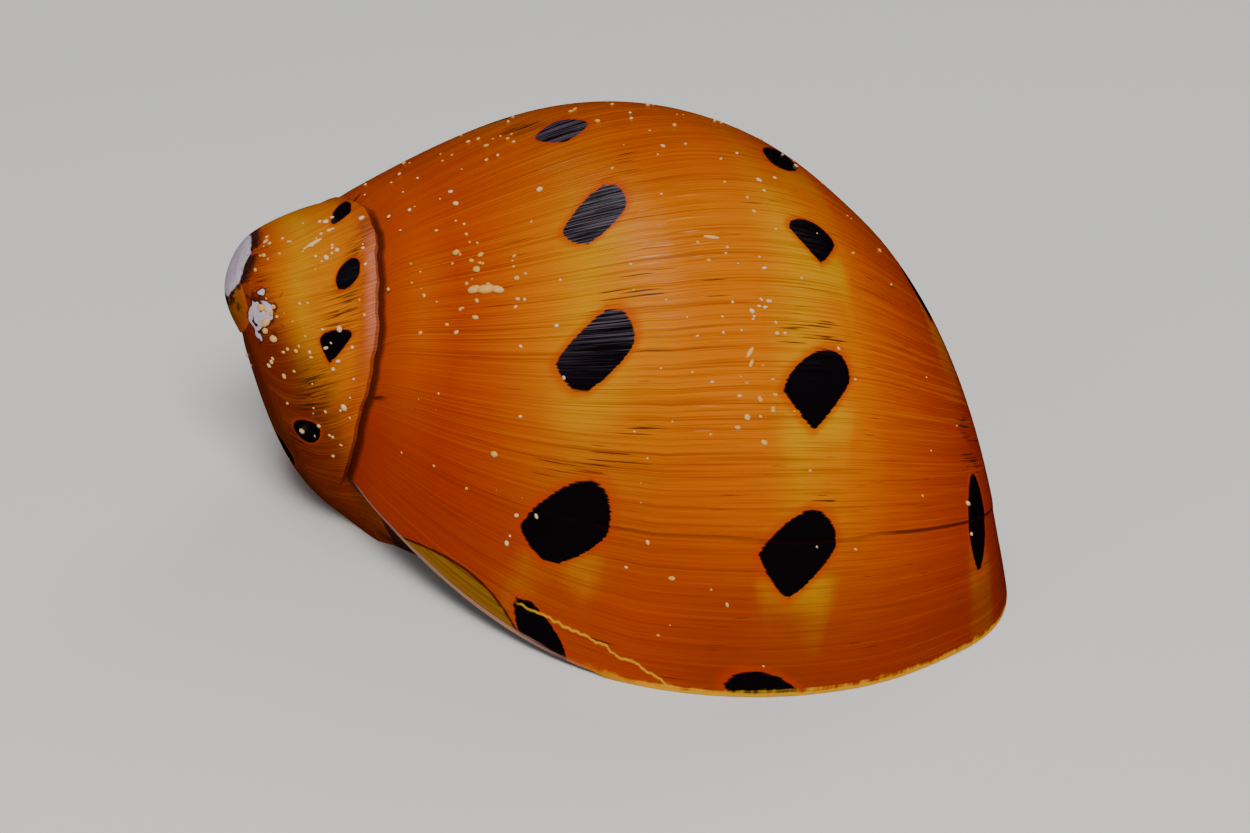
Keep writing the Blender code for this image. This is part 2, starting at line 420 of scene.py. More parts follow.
def run_to_foot(whorl, level, more):
    """Sends the rows below a level, all but a few, straight to a point under the shell."""
    under = np.nonzero(whorl[:, 2] < level)[0]
    first = under[0] if len(under) else whorl[:, 2].argmin()
    last = min(first + more, len(whorl) - 1)
    if more:
        whorl[first + 1 : last + 1, 2] = np.minimum(whorl[first + 1 : last + 1, 2], UNDER_RIM)
    share = np.linspace(0.0, 1.0, len(whorl) - last + 1)[1:-1, None]
    whorl[last + 1 :] = whorl[last] + share[: len(whorl) - last - 1] * (FOOT - whorl[last])


def settle_outside(rows, steps):
    """Final places of the outside's vertices, as columns by rows."""
    angle = coil_angles(rows, steps, lip_slant(rows.share))
    t = np.broadcast_to(rows.share, angle.shape)
    since = growth_time(angle, t)
    after_halt = 1.0 - smooth(since, HALT_TIME + HALT_RISE[0], HALT_TIME + HALT_RISE[1])
    depth = seam_drop(angle, t) + HALT_STEP * after_halt * smooth(since, 0.0, LIP_FADE)
    even = surface(angle, t)
    ray = (even - TIP) / np.linalg.norm(even - TIP, axis=-1, keepdims=True)
    place = even - depth[..., None] * outward(angle, t) + edge_wobble(angle, t)[..., None] * ray
    for column in place:
        run_to_foot(column[rows.corner + 1 :], 0.0, 2)
    return place


bm = grow(outside_rows, OUTSIDE_STEPS, settle_outside)
print(len(bm.verts), "vertices before the seams are welded")

# %% [markdown]
# ## Growth coordinates
#
# The colours of a shell are laid down at the lip, so they follow growth, not space. Each
# corner of each face gets two numbers in a UV map: how long ago that place was the lip, and
# its share of the outline. A face beside a seam belongs to one whorl alone, so the corners
# are written before the whorls are welded.


# %% Write time and share as a UV map
def new_object(name, bm):
    """Puts a bmesh in a new object of the scene."""
    mesh = bpy.data.meshes.new(name)
    bm.to_mesh(mesh)
    bm.free()
    made = bpy.data.objects.new(name, mesh)
    bpy.context.scene.collection.objects.link(made)
    return made


def corner_places(mesh, rows, steps):
    """Coil angle and share at every corner of every face."""
    count = len(rows.share)
    corner = np.empty(len(mesh.loops), np.int32)
    mesh.loops.foreach_get("vertex_index", corner)
    column, row = corner // count, corner % count
    upper = np.repeat(row.reshape(-1, 4).min(axis=1), 4)
    newer = np.isclose(rows.share[row], JOIN) & (row == upper)
    newer &= rows.back[row] > rows.back[upper + 1]
    angle = coil_angles(rows, steps, lip_slant(rows.share))[column, row]
    return np.where(newer, angle - TURN, angle), np.where(newer, 0.0, rows.share[row])


def write_map(mesh, name, first, second):
    """Stores two numbers at every face corner as a UV map."""
    values = np.stack((first, second), axis=1)
    written = mesh.uv_layers.new(name=name)
    written.data.foreach_set("uv", values.astype(np.float32).ravel())


outside = new_object("nerite_shell", bm)
corner_angle, corner_share = corner_places(outside.data, outside_rows, OUTSIDE_STEPS)
since_lip = growth_time(corner_angle, corner_share)
write_map(outside.data, "growth", since_lip, corner_share)
print("oldest place shown, in turns:", round(float(since_lip.max() / TURN), 2))

# %% [markdown]
# ## The spots
#
# The black marks are laid down by the lip, in rows, each time the snail switches its pigment
# on at a few places. What is stored here isn't the mark's colour but how far each place is
# from its nearest mark: a distance changes evenly across a face, so its edge stays sharp
# however coarse the mesh is. A second number says what lies beside a mark along the coil:
# above zero there are small dashes ahead of it, and below zero there is a yellow glow behind.

# %% Places and shapes of the spots
SPOTS = (
    # coil angle, share, length ahead and behind, half width, slant, shear, roundness of both ends
    (6.5, 0.150, 9.5, 5.8, 0.0270, 0.24, 0.50, 1.7, 1.3),
    (35.5, 0.155, 8.7, 7.4, 0.0245, 0.36, 0.42, 1.55, 1.25),
    (62.8, 0.160, 8.7, 6.1, 0.0225, 0.50, 0.38, 1.6, 1.35),
    (94.3, 0.168, 3.5, 3.5, 0.0320, -0.33, 1.10, 3.0, 3.0),
    (-10.4, 0.153, 3.8, 3.8, 0.024, 0.0, -0.30, 2.6, 1.6),
    (19.7, 0.344, 5.5, 5.7, 0.038, 0.20, 0.40, 1.65, 1.15),
    (40.8, 0.360, 5.4, 6.0, 0.040, 0.21, 0.39, 2.0, 1.05),
    (65.7, 0.391, 3.1, 5.1, 0.037, 0.05, 0.0, 1.9, 1.1),
    (86.9, 0.421, 4.2, 4.2, 0.040, 0.0, 0.65, 2.4, 2.2),
    (1.8, 0.335, 3.4, 2.6, 0.042, 0.0, 0.2, 2.0, 1.4),
    (32.4, 0.675, 6.6, 6.6, 0.024, 0.20, 0.0, 1.8, 1.5),
    (70.2, 0.678, 7.0, 7.0, 0.025, 0.0, 0.0, 1.8, 1.4),
    (327.0, 0.176, 5.8, 5.8, 0.028, 0.0, 0.85, 2.3, 2.0),
    (372.0, 0.212, 4.2, 10.8, 0.0245, 0.20, 0.62, 2.4, 1.15),
    (403.6, 0.228, 9.4, 9.4, 0.017, 0.70, 0.0, 2.0, 1.7),
    (448.7, 0.2355, 12.7, 13.0, 0.0175, 1.60, -0.15, 2.4, 1.3),
)
FURTHER_ROWS = (
    # the rows go on round the back: first angle, step, how many, share, length, half width
    (127.0, 33.5, 6, 0.168, 7.5, 0.029),
    (487.0, 38.0, 3, 0.215, 9.0, 0.024),
    (111.0, 27.0, 8, 0.405, 5.2, 0.036),
    (104.0, 36.0, 6, 0.665, 6.5, 0.022),
)
FURTHER_SHAPE = (0.1, 0.2, 1.8, 1.35)
spots = list(SPOTS)
for first, step, count, place, length, width in FURTHER_ROWS:
    for i in range(count):
        spots.append((first + step * i, place, length, length, width, *FURTHER_SHAPE))
print(len(spots), "spots")

# %% How far each place is from them
FAR = 4.0
SPIRE_SPOTS_FROM = 200.0
STREAK_SPAN = 5.0
SPIRE_STREAK_SPAN = 14.0
STREAK_WIDTH = 1.2
STREAK_MIDDLE = 0.8
GLOW_SPAN = 20.0
GLOW_WIDTH = 1.1
GLOW_START = 0.4


def spot_distance(angle, t):
    """1 on the edge of the nearest spot, less inside it; and what lies ahead of it or behind."""
    nearest = np.full(angle.shape, FAR)
    streaks = np.zeros(angle.shape)
    glow = np.zeros(angle.shape)
    for degrees, place, front, rear, width, slant, shear, head, tail in spots:
        half = 0.5 * (front + rear)
        along = (angle - math.radians(degrees)) / math.radians(half)
        across = (t - place) / width - slant * along
        along = (along - shear * across) * half
        power = np.where(along > 0.0, head, tail)
        along = along / np.where(along > 0.0, front, rear)
        reach = (np.abs(across) ** power + np.abs(along) ** power) ** (1.0 / power)
        nearest = np.minimum(nearest, reach)
        span = STREAK_SPAN if degrees < SPIRE_SPOTS_FROM else SPIRE_STREAK_SPAN
        ahead = (along - 1.0) * front / span - STREAK_MIDDLE
        streaks = np.maximum(streaks, np.exp(-((across / STREAK_WIDTH) ** 2) - ahead**4))
        if degrees < SPIRE_SPOTS_FROM:
            behind = (-along - GLOW_START) * rear / GLOW_SPAN
            level = np.exp(-(((t - place) / (GLOW_WIDTH * width)) ** 6))
            lasts = smooth(behind, 0.0, 0.1) * (1.0 - smooth(behind, 0.3, 1.0))
            glow = np.maximum(glow, lasts * level)
    return nearest, streaks - glow


nearest_spot, beside_spot = spot_distance(corner_angle, corner_share)
write_map(outside.data, "spots", nearest_spot, beside_spot)
print("part of the skin that is black:", round(float((nearest_spot < 1.0).mean()), 3))

# %% [markdown]
# ## Closing the coil
#
# After one turn the line has moved in by one whorl, so its band number two lies exactly on
# band number one of the first column. Welding those vertices makes the seam. What stays open
# is the tip, which gets a small cap, and the mouth, which is closed for now with straight
# faces from the lip to the older whorl: a solid has to be closed before anything is cut.

# %% Weld, cap and close
SKIN_SLOT, INSIDE_SLOT, DECK_SLOT, CORNER_SLOT = 0, 1, 2, 3
WELD = 0.002
TIP_CAP = 1.14


def close_coil(made, rows, steps, pole, mouth_slot):
    """Welds the seam of a grown coil and closes its tip, its mouth and its foot."""
    bm = bmesh.new()
    bm.from_mesh(made.data)
    bm.verts.ensure_lookup_table()
    count = len(rows.share)
    columns = [bm.verts[i * count : (i + 1) * count] for i in range(steps + 1)]
    tip = bm.verts.new(pole)
    low = bm.verts.new(FOOT)
    for left, right in zip(columns, columns[1:]):
        bm.faces.new((tip, right[0], left[0]))
        bm.faces.new((left[-1], right[-1], low))
    lip, old = columns[0], columns[-1]
    for j in range(rows.shift):
        bm.faces.new((tip, old[j + 1], old[j]))
    join = rows.corner + rows.shift
    for j in range(rows.corner, count - 1):
        far = (old[join],) if j < join else (old[j + 1], old[j])
        bm.faces.new((lip[j], lip[j + 1], *far)).material_index = mouth_slot
    bm.faces.new((lip[-1], low, old[-1])).material_index = mouth_slot
    bmesh.ops.remove_doubles(bm, verts=bm.verts, dist=WELD)
    bmesh.ops.recalc_face_normals(bm, faces=bm.faces)
    bm.to_mesh(made.data)
    bm.free()


def open_edges(mesh):
    """How many edges don't have exactly two faces."""
    bm = bmesh.new()
    bm.from_mesh(mesh)
    count = sum(len(edge.link_faces) != 2 for edge in bm.edges)
    bm.free()
    return count


close_coil(outside, outside_rows, OUTSIDE_STEPS, TIP + TIP_CAP * ALONG, CORNER_SLOT)
print("open edges of the closed coil:", open_edges(outside.data))

# %% [markdown]
# ## The mouth plane
#
# A nerite clings flat to stone, so its lip and its deck end in one plane. The coil is cut
# there with a bisect, and the cut is filled. Only the lip's corner beside the seam stays up.

# %% Cut at the mouth
bm = bmesh.new()
bm.from_mesh(outside.data)
everything = bm.verts[:] + bm.edges[:] + bm.faces[:]
cut = bmesh.ops.bisect_plane(
    bm, geom=everything, plane_co=(0, 0, 0), plane_no=(0, 0, 1), clear_inner=True
)
rim = [item for item in cut["geom_cut"] if isinstance(item, bmesh.types.BMEdge)]
for face in bmesh.ops.contextual_create(bm, geom=rim)["faces"]:
    face.material_index = DECK_SLOT
bmesh.ops.recalc_face_normals(bm, faces=bm.faces)
bm.to_mesh(outside.data)
bm.free()
print("open edges after the cut:", open_edges(outside.data), "of", len(outside.data.edges))

# %% [markdown]
# ## The hollow
#
# The inside follows the outside at the thickness of the wall, which thins towards the lip.
# It could be made with a Solidify modifier, but the outside offset inwards folds over itself
# in the tight turns of the spire. So it is grown in the same way on a coarser line that stops
# before the oldest whorls, which the snail fills up as it grows.

# %% The inside of the coil
WALL = 0.9
LIP_WALL = 0.45
LIP_TAPER = 0.45
LIP_CLEAR = 0.17
LIP_CLEAR_SHARE = 0.05
DECK = 1.0
# past this turn from the lip, the hollow ends just under the deck's top, not at the mouth
DECK_FROM = 1.75
UNDER_DECK = 0.9 * DECK
HOLLOW_TOP = 3.0
INSIDE_STEPS = 88


def settle_inside(rows, steps):
    """Places of the hollow's vertices: under the outside by the thickness of the wall."""
    clear = LIP_CLEAR * np.minimum(rows.share / LIP_CLEAR_SHARE, 1.0)
    angle = coil_angles(rows, steps, lip_slant(rows.share) - clear)
    t = np.broadcast_to(rows.share, angle.shape)
    turned = np.linspace(0.0, TURN, steps + 1)[:, None]
    grown = smooth(turned, LIP_CLEAR, LIP_CLEAR + LIP_TAPER)
    depth = np.where(rows.back > 0.0, WALL, LIP_WALL + (WALL - LIP_WALL) * grown)
    place = surface(angle, t) - depth[..., None] * outward(angle, t)
    for turn, column in zip(turned[:, 0], place):
        whorl = column[rows.corner + 1 :]
        if turn > DECK_FROM:
            run_to_foot(whorl, UNDER_DECK, 0)
        else:
            run_to_foot(whorl, 0.0, 2)
    return place


COARSE = JOIN * np.array((0.05, 0.18, 0.32, 0.46, 0.61, 0.75, 0.87, 0.95, 1.0))
inside_rows = Rows(2, COARSE, spread(JOIN, 1.0, 24, 0.0), skip=4)
hollow = new_object("hollow", grow(inside_rows, INSIDE_STEPS, settle_inside))
close_coil(hollow, inside_rows, INSIDE_STEPS, TIP + HOLLOW_TOP * ALONG, INSIDE_SLOT)
print("open edges of the hollow:", open_edges(hollow.data))

# %% [markdown]
# ## The deck
#
# The deck is the shelf that half closes the mouth. The animal's foot slides over its edge,
# which is slightly hollow and has fine teeth. It is drawn from above as one outline, and the
# outline is extruded to a block that covers all that the deck keeps closed.

# %% The deck's block
DECK_EDGE_Y = -1.9
DECK_EDGE_SLOPE = 0.10
DECK_EDGE_HOLLOW = 0.5
DECK_SPAN = (-9.0, 10.5)
DECK_BEYOND = 8.0
DECK_BACK_Y = 16.0
DECK_BOTTOM = -9.0
CORNER_FILL = 6.4
CORNER_SPAN = (-6.3, -2.4)
TEETH = 9
TOOTH = 0.22
TOOTH_PITCH = 0.95
TOOTH_MIDDLE = 1.0


def deck_edge(x):
    """The deck's free edge: slightly hollow, with fine teeth in the middle."""
    along = (x - DECK_SPAN[0]) / (DECK_SPAN[1] - DECK_SPAN[0])
    y = DECK_EDGE_Y + DECK_EDGE_SLOPE * x + DECK_EDGE_HOLLOW * math.sin(math.pi * along)
    y -= CORNER_FILL * (1.0 - smooth(x, *CORNER_SPAN))
    place = (x - TOOTH_MIDDLE) / TOOTH_PITCH
    if abs(place) < TEETH / 2.0:
        y -= TOOTH * 0.5 * (1.0 + math.cos(TURN * place))
    return y


left, right = DECK_SPAN
outline = [(x, deck_edge(x)) for x in np.linspace(left, right, 161)]
outline += [(right + DECK_BEYOND, deck_edge(right)), (right + DECK_BEYOND, DECK_BACK_Y)]
outline += [(left - DECK_BEYOND, DECK_BACK_Y), (left - DECK_BEYOND, deck_edge(left))]
bm = bmesh.new()
bottom = bm.faces.new([bm.verts.new((x, y, DECK_BOTTOM)) for x, y in outline])
raised = bmesh.ops.extrude_face_region(bm, geom=[bottom])["geom"]
top = [item for item in raised if isinstance(item, bmesh.types.BMVert)]
bmesh.ops.translate(bm, verts=top, vec=(0.0, 0.0, DECK - DECK_BOTTOM))
bmesh.ops.recalc_face_normals(bm, faces=bm.faces)
deck_block = new_object("deck_block", bm)
print("the deck's edge has", TEETH, "teeth,", TOOTH_PITCH, "mm apart")

# %% [markdown]
# ## Two cuts
#
# What the deck keeps closed is taken off the hollow, and what is left of the hollow is taken
# off the coil. A Boolean cuts walls of any shape in one step. Each face keeps the material of
# the solid that it came from, so the skin, the inside and the deck stay apart.


# %% Cut the hollow out
def wear_slots(made, slots, own=None):
    """Gives an object its material slots, and all its faces one of them if own is given."""
    for material in slots:
        made.data.materials.append(material)
    if own is not None:
        made.data.polygons.foreach_set("material_index", [own] * len(made.data.polygons))


def cut_away(target, tool):
    """Takes one closed solid from another and keeps the result as the target's mesh."""
    modifier = target.modifiers.new("cut", "BOOLEAN")
    modifier.operation = "DIFFERENCE"
    modifier.solver = "EXACT"
    modifier.object = tool
    graph = bpy.context.evaluated_depsgraph_get()
    result = bpy.data.meshes.new_from_object(target.evaluated_get(graph))
    target.modifiers.clear()
    target.data = result
    bpy.data.objects.remove(tool)


FINISHES = ("shell_skin", "shell_inside", "deck", "inner_lip")
finishes = [bpy.data.materials.new(name) for name in FINISHES]
wear_slots(outside, finishes)
wear_slots(hollow, finishes, INSIDE_SLOT)
wear_slots(deck_block, finishes, DECK_SLOT)
cut_away(hollow, deck_block)
print("hollow:", len(hollow.data.polygons), "faces,", open_edges(hollow.data), "open edges")
cut_away(outside, hollow)
print("shell:", len(outside.data.polygons), "faces,", open_edges(outside.data), "open edges")

# %% [markdown]
# ## From millimetres to the part's own frame
#
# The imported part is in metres, with its origin under the middle of its box. The mesh itself
# is moved and scaled, and the object stays at the origin, unturned and unscaled.

# %% Move to the part's origin
SHARP_ANGLE = math.radians(50.0)


def move_to_part(made):
    """Moves a mesh drawn in millimetres to the part's origin, in metres."""
    made.data.transform(Matrix.Translation(-Vector(ORIGIN)))
    made.data.transform(Matrix.Scale(MM, 4))


move_to_part(outside)
outside.data.set_sharp_from_angle(angle=SHARP_ANGLE)
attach(outside, "root")
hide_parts("shell")
triangles = sum(len(face.vertices) - 2 for face in outside.data.polygons)
print("the shell has", triangles, "triangles")

# %% [markdown]
# ## Writing shader maths as sums
#
# A material is a tree of nodes. Most of them only add or multiply, and a long chain of them
# is easier to read as a sum. The small class below wraps a socket, so that a sum of sockets
# adds the Math nodes for it. Every other node is added by one function, which takes the
# node's type, its settings and what goes into its sockets.


# %% Adding a node
def put(tree, socket, value):
    """Links a wrapped output to a socket, or sets the socket to a plain value."""
    if isinstance(value, Value):
        tree.links.new(value.socket, socket)
    elif socket.type == "RGBA":
        socket.default_value = (*value, 1.0)
    else:
        socket.default_value = value


def set_stops(ramp, stops):
    """Fills a colour ramp with stops of (place, colour)."""
    while len(ramp.elements) < len(stops):
        ramp.elements.new(0.5)
    for element, (place, colour) in zip(ramp.elements, stops):
        element.position = place
        element.color = (*colour, 1.0)


def add_node(tree, kind, settings, sockets, output=0):
    """Adds a node: its settings first, then its sockets by name or number."""
    node = tree.nodes.new(kind)
    for name, value in settings.items():
        if name == "stops":
            set_stops(node.color_ramp, value)
        else:
            setattr(node, name, value)
    for name, value in sockets.items():
        put(tree, node.inputs[name], value)
    return Value(tree, node.outputs[output])


print("a node takes its type, its settings and what goes into its sockets")


# %% Sockets that can be added and multiplied
class Value:
    """One output of a node tree, which can stand in a sum."""

    def __init__(self, tree, socket):
        self.tree = tree
        self.socket = socket

    def maths(self, operation, *terms):
        settings = {"operation": operation}
        return add_node(self.tree, "ShaderNodeMath", settings, dict(enumerate(terms)))

    def __add__(self, other):
        return self.maths("ADD", self, other)

    def __sub__(self, other):
        return self.maths("SUBTRACT", self, other)

    def __rsub__(self, other):
        return self.maths("SUBTRACT", other, self)

    def __mul__(self, other):
        return self.maths("MULTIPLY", self, other)

    def __truediv__(self, other):
        return self.maths("DIVIDE", self, other)

    def __abs__(self):
        return self.maths("ABSOLUTE", self)

    __radd__ = __add__
    __rmul__ = __mul__

    def at_least(self, other):
        return self.maths("MAXIMUM", self, other)

    def step(self, low, high):
        """0 below low, 1 above high and a smooth rise between; low may be the larger."""
        ends = {"From Min": min(low, high), "From Max": max(low, high)}
        ends |= {"To Min": float(low > high), "To Max": float(low < high)}
        smoothed = {"interpolation_type": "SMOOTHSTEP"}
        return add_node(self.tree, "ShaderNodeMapRange", smoothed, {"Value": self, **ends})

    def between(self, start, full, last, end):
        """1 from full to last, and 0 before start and after end."""
        return self.step(start, full) * self.step(end, last)


print("sockets can now be added, taken away, multiplied and divided")

# %% [markdown]
# ## A finish
#
# A finish is one material, built up as a painter would: it has a colour so far, and each
# further colour is laid over it where a mask says. Masks are made from the growth time, the
# share across the whorl and noise, so each says in plain words where its colour belongs.


# %% A material and its ways of adding nodes
class Finish:
    """A material, the colour that it has so far, and the nodes that this shell needs."""

    def __init__(self, material):
        material.use_nodes = True
        self.tree = material.node_tree
        self.shader = self.tree.nodes["Principled BSDF"]
        self.colour = None

    def node(self, kind, settings=None, output=0, **values):
        """Any node: its settings first, then the values or links of its sockets."""
        sockets = {name.replace("_", " "): value for name, value in values.items()}
        return add_node(self.tree, kind, settings or {}, sockets, output)

    def uv(self, name):
        """The two numbers of a UV map."""
        both = self.node("ShaderNodeUVMap", {"uv_map": name})
        return [self.node("ShaderNodeSeparateXYZ", output=i, Vector=both) for i in (0, 1)]

    def place(self):
        """Where a point is on the part, in metres."""
        return self.node("ShaderNodeTexCoord", output=3)

    def at(self, x, y, z=0.0):
        return self.node("ShaderNodeCombineXYZ", X=x, Y=y, Z=z)

    def noise(self, vector, scale, detail=2.0, roughness=0.5):
        values = {"Vector": vector, "Scale": scale, "Detail": detail, "Roughness": roughness}
        return self.node("ShaderNodeTexNoise", **values)

    def far(self, place, centre):
        """Distance from a fixed point."""
        settings = {"operation": "DISTANCE"}
        return add_node(self.tree, "ShaderNodeVectorMath", settings, {0: place, 1: centre}, 1)

    def mix(self, amount, first, second):
        """Blends two colours; amount 0 keeps the first."""
        sockets = {0: amount, 6: first, 7: second}
        return add_node(self.tree, "ShaderNodeMix", {"data_type": "RGBA"}, sockets, 2)

    def lay(self, where, colour, most=None):
        """Lays a colour over the one so far: none where 0, and where 1 all of it or the most."""
        share = where if most is None else where * most
        self.colour = self.mix(share, self.colour, colour)

    def wear(self, **values):
        """Sets or links sockets of the material's own shader."""
        for name, value in values.items():
            put(self.tree, self.shader.inputs[name.replace("_", " ")], value)

    def report(self, step):
        print(step, "-", len(self.tree.nodes), "nodes so far")


# %% [markdown]
# ## The skin: bands round the whorl
#
# The outside is a glossy orange skin. Its pigment changes across the whorl, so it runs in
# bands round it: red-orange near the seam, yellow where the spots are, and deep red below. A
# colour ramp on the share across the whorl gives them, and slow noise lets their edges drift.
# An image could hold the same bands, but it would be stretched at the tip and the lip.

# %% Growth time, share and the bands
skin = Finish(finishes[SKIN_SLOT])
# age is the growth time in radians of coiling: 0 at the lip, about 6 where the spire starts
age, band = skin.uv("growth")
spot, beside = skin.uv("spots")


def growth_noise(along, across, layer=0.0, detail=2.0, roughness=0.5, time=age):
    """Noise in growth coordinates: so many marks in a radian, and so many across the whorl."""
    return skin.noise(skin.at(time * along, band * across, layer), 1.0, detail, roughness)


DEEP_RED = (0.30, 0.020, 0.003)
RED = (0.42, 0.044, 0.001)
ORANGE = (0.50, 0.082, 0.001)
AMBER = (0.58, 0.145, 0.001)
GOLD = (0.60, 0.190, 0.001)
YELLOW = (0.58, 0.235, 0.001)
BANDS = (
    (0.000, RED),
    (0.030, ORANGE),
    (0.055, RED),
    (0.085, ORANGE),
    (0.115, AMBER),
    (0.150, YELLOW),
    (0.175, GOLD),
    (0.235, AMBER),
    (0.300, AMBER),
    (0.340, YELLOW),
    (0.372, GOLD),
    (0.400, AMBER),
    (0.470, ORANGE),
    (0.560, RED),
    (0.690, DEEP_RED),
    (0.900, DEEP_RED),
)
BAND_DRIFT = 0.03
slow = growth_noise(2.2, 9.0, detail=3.0)
drift = (slow - 0.5) * BAND_DRIFT
skin.colour = skin.node("ShaderNodeValToRGB", {"stops": BANDS}, Fac=band + drift)
skin.report("bands")

# %% [markdown]
# ## The skin: shades along the coil
#
# The shade also changes with time. The newest strip is redder, the yellow glows on behind
# each spot, and the far side is red. Where the coil turns under, a painted shade makes it
# nearly brown, and the old spire is dull. The lower side of the spire gets a painted shade as
# well. Each is one colour laid over the bands. A name that ends in AGES or SHARES holds the
# growth times, or the shares across the whorl, between which a mask rises or falls: two for
# one end, and four for both. Each rises and falls smoothly, so that it leaves no edge.

# %% Shades laid over the bands
# colour, and how much of it at most
LIP_RED = ((0.34, 0.022, 0.001), 0.88)
GLOW = (0.56, 0.25, 0.0)
FAR_SIDE = (RED, 0.75)
# painted shade where the coil turns under: nearly brown
UNDERSIDE_PAINTED_SHADE = ((0.10, 0.007, 0.002), 0.92)
NEWEST = ((0.16, 0.014, 0.001), 0.45)
OLDEST = ((0.13, 0.025, 0.002), 0.60)
# painted shade on the lower side of the spire
SPIRE_PAINTED_SHADE = ((0.22, 0.017, 0.001), 0.65)
SEAM_BAND = ((0.46, 0.070, 0.008), 0.75)

LIP_RED_AGES = (1.10, 0.32)
LIP_RED_SLANT = 0.9
GLOW_FIRST_ROW = 0.50
GLOW_SECOND_MORE = 0.45
GLOW_THIRD_LESS = 0.7
SECOND_ROW_SHARES = (0.22, 0.30)
THIRD_ROW_SHARES = (0.50, 0.60)
FAR_SIDE_START = (1.20, 1.80)
FAR_SIDE_END = (5.60, 4.60)
FAR_SIDE_UNEVEN = 0.4
UNDERSIDE_SHADE_AGES = (4.40, 5.60, 6.40, 7.30)
NEWEST_AGES = (0.40, 0.08)
NEWEST_SHARES = (0.20, 0.30)
NEWEST_UNEVEN = 0.2
SPIRE_AGES = (5.90, 6.10)
OLDEST_AGES = (11.0, 12.0)
SPIRE_PAINTED_SHADE_AGES = (6.95, 6.35)
SEAM_BAND_AGES = (6.50, 7.00)
SEAM_BAND_SHARES = (0.236, 0.262)

skin.lay((age + band * LIP_RED_SLANT).step(*LIP_RED_AGES), *LIP_RED)
# the glow is strongest behind the second row of spots and weak behind the third
behind_spot = (0.0 - beside).at_least(0.0)
glow = behind_spot * (GLOW_FIRST_ROW + band.step(*SECOND_ROW_SHARES) * GLOW_SECOND_MORE)
skin.lay(glow * (1.0 - band.step(*THIRD_ROW_SHARES) * GLOW_THIRD_LESS), GLOW)
far_side = (age + (slow - 0.5) * FAR_SIDE_UNEVEN).step(*FAR_SIDE_START)
skin.lay(far_side * age.step(*FAR_SIDE_END), *FAR_SIDE)
# painted shade where the coil turns under
skin.lay(age.between(*UNDERSIDE_SHADE_AGES), *UNDERSIDE_PAINTED_SHADE)
newest = (age + (slow - 0.5) * NEWEST_UNEVEN).step(*NEWEST_AGES)
skin.lay(newest * band.step(*NEWEST_SHARES), *NEWEST)
spire = age.step(*SPIRE_AGES)
skin.lay(age.step(*OLDEST_AGES), *OLDEST)
# painted shade on the lower side of the spire
skin.lay(spire * age.step(*SPIRE_PAINTED_SHADE_AGES), *SPIRE_PAINTED_SHADE)
skin.lay(band.step(*SEAM_BAND_SHARES) * age.step(*SEAM_BAND_AGES), *SEAM_BAND)
skin.report("shades")

# %% [markdown]
# ## The skin: growth lines and dashes
#
# Fine lines cross the bands, and each is a place where the lip once was. They are noise that
# is very narrow in time and wide across the whorl. The lines of the old spire slant back,
# because the lip was more slanted when the snail was small. Short dark dashes are the same
# kind of noise cut off near its top, and they crowd together ahead of each spot. A name that
# ends in CUT holds the levels of a noise between which its mask rises or falls.

# %% Growth lines
LINE_DARK = (0.22, 0.022, 0.001)
LINE_LIGHT = (0.64, 0.22, 0.001)
SPIRE_SLANT = 6.0
LINES_A_RADIAN = 105.0
FINE_LINES_A_RADIAN = 170.0
DARK_CUT = (0.50, 0.66)
FINE_CUT = (0.50, 0.62)
LIGHT_CUT = (0.47, 0.34)
LINES_DARKEN = 0.38
FINE_DARKEN = 0.30
# the lip has weaker light lines than the rest
LIGHT_AT_LIP = 0.08
LIGHT_MORE = 0.17
LIGHT_AGES = (0.3, 0.9)

laid = age - spire * band * SPIRE_SLANT
lines = growth_noise(LINES_A_RADIAN, 2.4, roughness=0.8, time=laid)
fine = growth_noise(FINE_LINES_A_RADIAN, 7.0, 3.0, 1.0, 0.6, laid)
darkened = lines.step(*DARK_CUT) * LINES_DARKEN + fine.step(*FINE_CUT) * FINE_DARKEN
skin.lay(darkened, LINE_DARK)
lightened = LIGHT_AT_LIP + age.step(*LIGHT_AGES) * LIGHT_MORE
skin.lay(lines.step(*LIGHT_CUT) * lightened, LINE_LIGHT)
skin.report("growth lines")

# %% Dashes and smudges
DASH = ((0.045, 0.010, 0.003), 0.85)
SMUDGE = ((0.05, 0.012, 0.003), 0.85)
DASHES_A_RADIAN = 135.0
DASH_CUT = (0.70, 0.79)
CROWDING = 0.22
SPIRE_DASHES_A_RADIAN = 60.0
SPIRE_DASH_CUT = (0.50, 0.56)
SMUDGE_CUT = (0.50, 0.58)
SMUDGE_AGES = (6.7, 7.2)
SMUDGE_SHARES = (0.125, 0.055)

dashes = growth_noise(DASHES_A_RADIAN, 17.0, 7.0, 1.0)
dashes = (dashes + beside * CROWDING).step(*DASH_CUT) * (1.0 - spire)
on_spire = growth_noise(SPIRE_DASHES_A_RADIAN, 16.0, 7.0, 1.0, time=laid)
skin.lay(dashes + on_spire.step(*SPIRE_DASH_CUT) * spire * beside, *DASH)
smudges = band.step(*SMUDGE_SHARES) * age.step(*SMUDGE_AGES) * on_spire.step(*SMUDGE_CUT)
skin.lay(smudges, *SMUDGE)
skin.report("dashes")

# %% [markdown]
# ## The skin: the spots
#
# A spot is black pigment under the clear top of the skin. Its edge is ragged, because it
# starts and stops a little sooner or later along each growth line, and a red halo runs round
# it. The stored distance from the spot is 1 on its edge, so a step round 1 draws the spot,
# and a wider one the halo. On the newer spots the growth lines get a painted sheen: a paler
# grey-violet colour where they would catch the light.

# %% Spots with their halo and sheen
HALO = ((0.45, 0.035, 0.002), 0.60)
BLACK = (0.0035, 0.0018, 0.0030)
